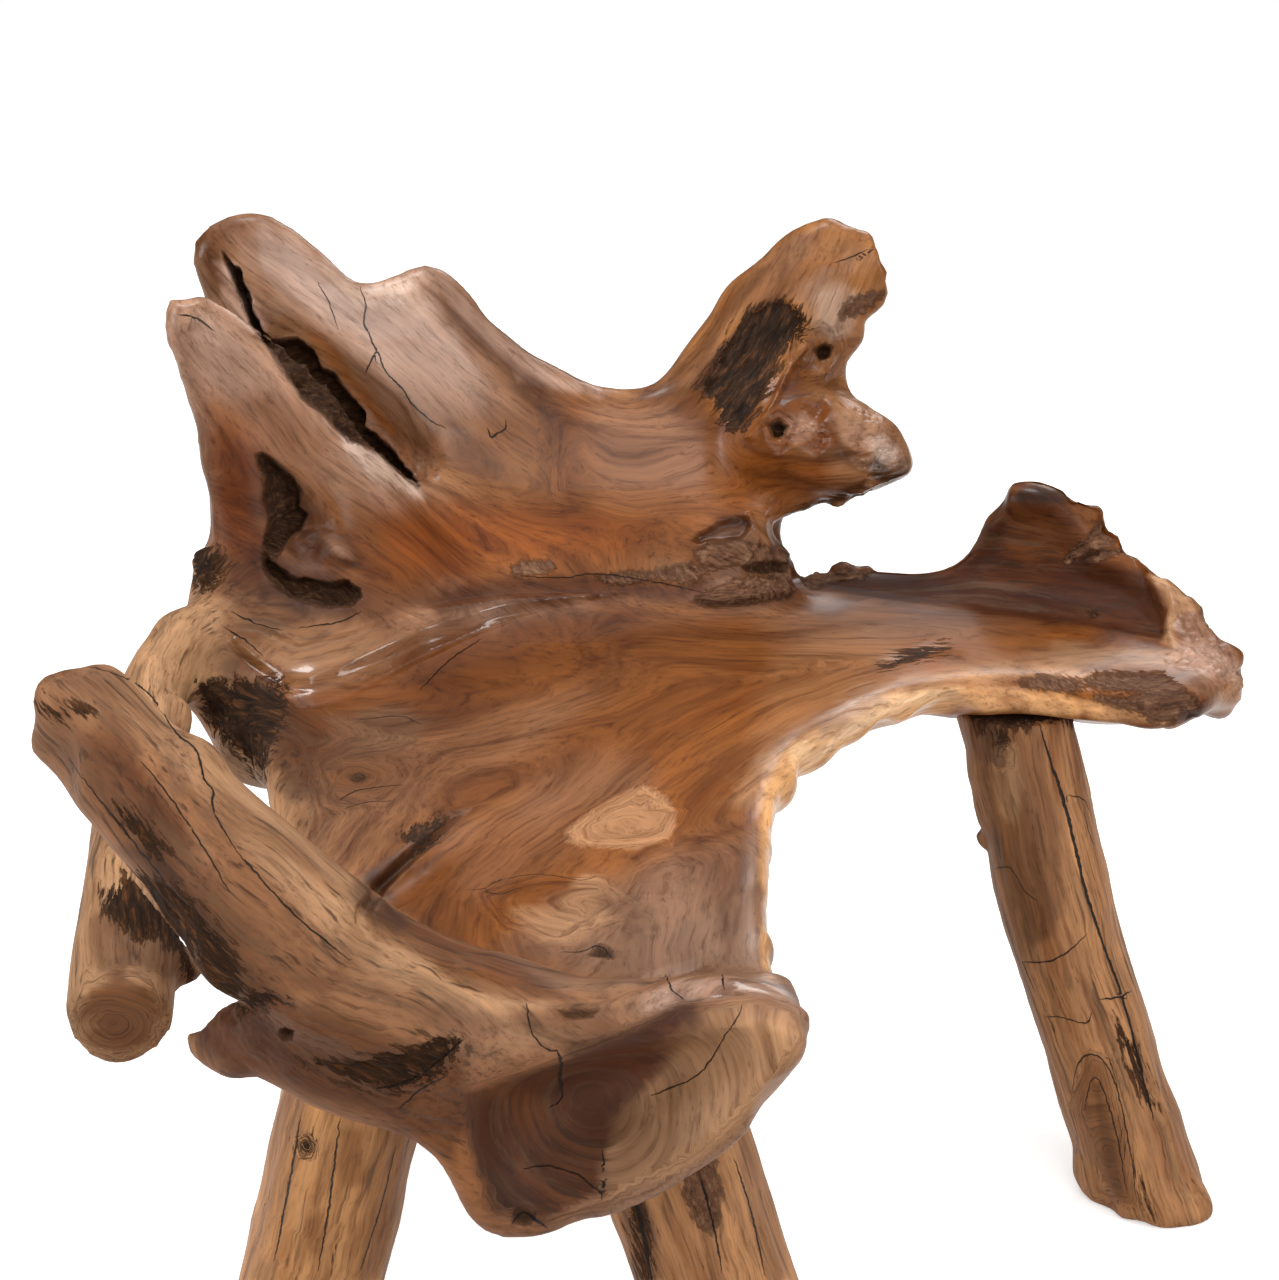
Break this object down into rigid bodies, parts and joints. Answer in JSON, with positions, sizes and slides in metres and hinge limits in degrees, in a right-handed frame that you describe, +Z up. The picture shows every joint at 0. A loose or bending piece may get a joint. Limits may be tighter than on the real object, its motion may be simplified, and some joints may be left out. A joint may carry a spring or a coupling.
{
  "type": "root wood bench",
  "caption": "Free-form teak root bench: broad carved seat with curling back, branch arms and a side wing, on splayed log legs.",
  "frame": {"origin": "centre of the bounding box at floor level, under the seat", "axes": "+Z up; +Y from the sawn near end of the seat limb to the back; +X along the back, from the arms to the wing"},
  "size_m": [0.9502, 1.0346, 0.8192],
  "materials": {
    "carved_root": "hand-sanded, oiled satin teak root with darker knots and bark pockets",
    "leg_log": "barked teak log, lightly sanded, matt",
    "tenon_wood": "turned teak, bare",
    "peg_wood": "teak peg, end grain showing, oiled"
  },
  "bodies": {
    "root": {"root_body": "carved_root", "leg_right": "leg_log", "leg_front_left": "leg_log", "leg_front_centre": "leg_log", "leg_back_left": "leg_log", "tenon_right": "tenon_wood", "tenon_front_left": "tenon_wood", "tenon_front_centre": "tenon_wood", "tenon_back_left": "tenon_wood", "peg_right": "peg_wood", "peg_front_left": "peg_wood", "peg_front_centre": "peg_wood", "peg_back_left": "peg_wood"}
  },
  "joints": []
}
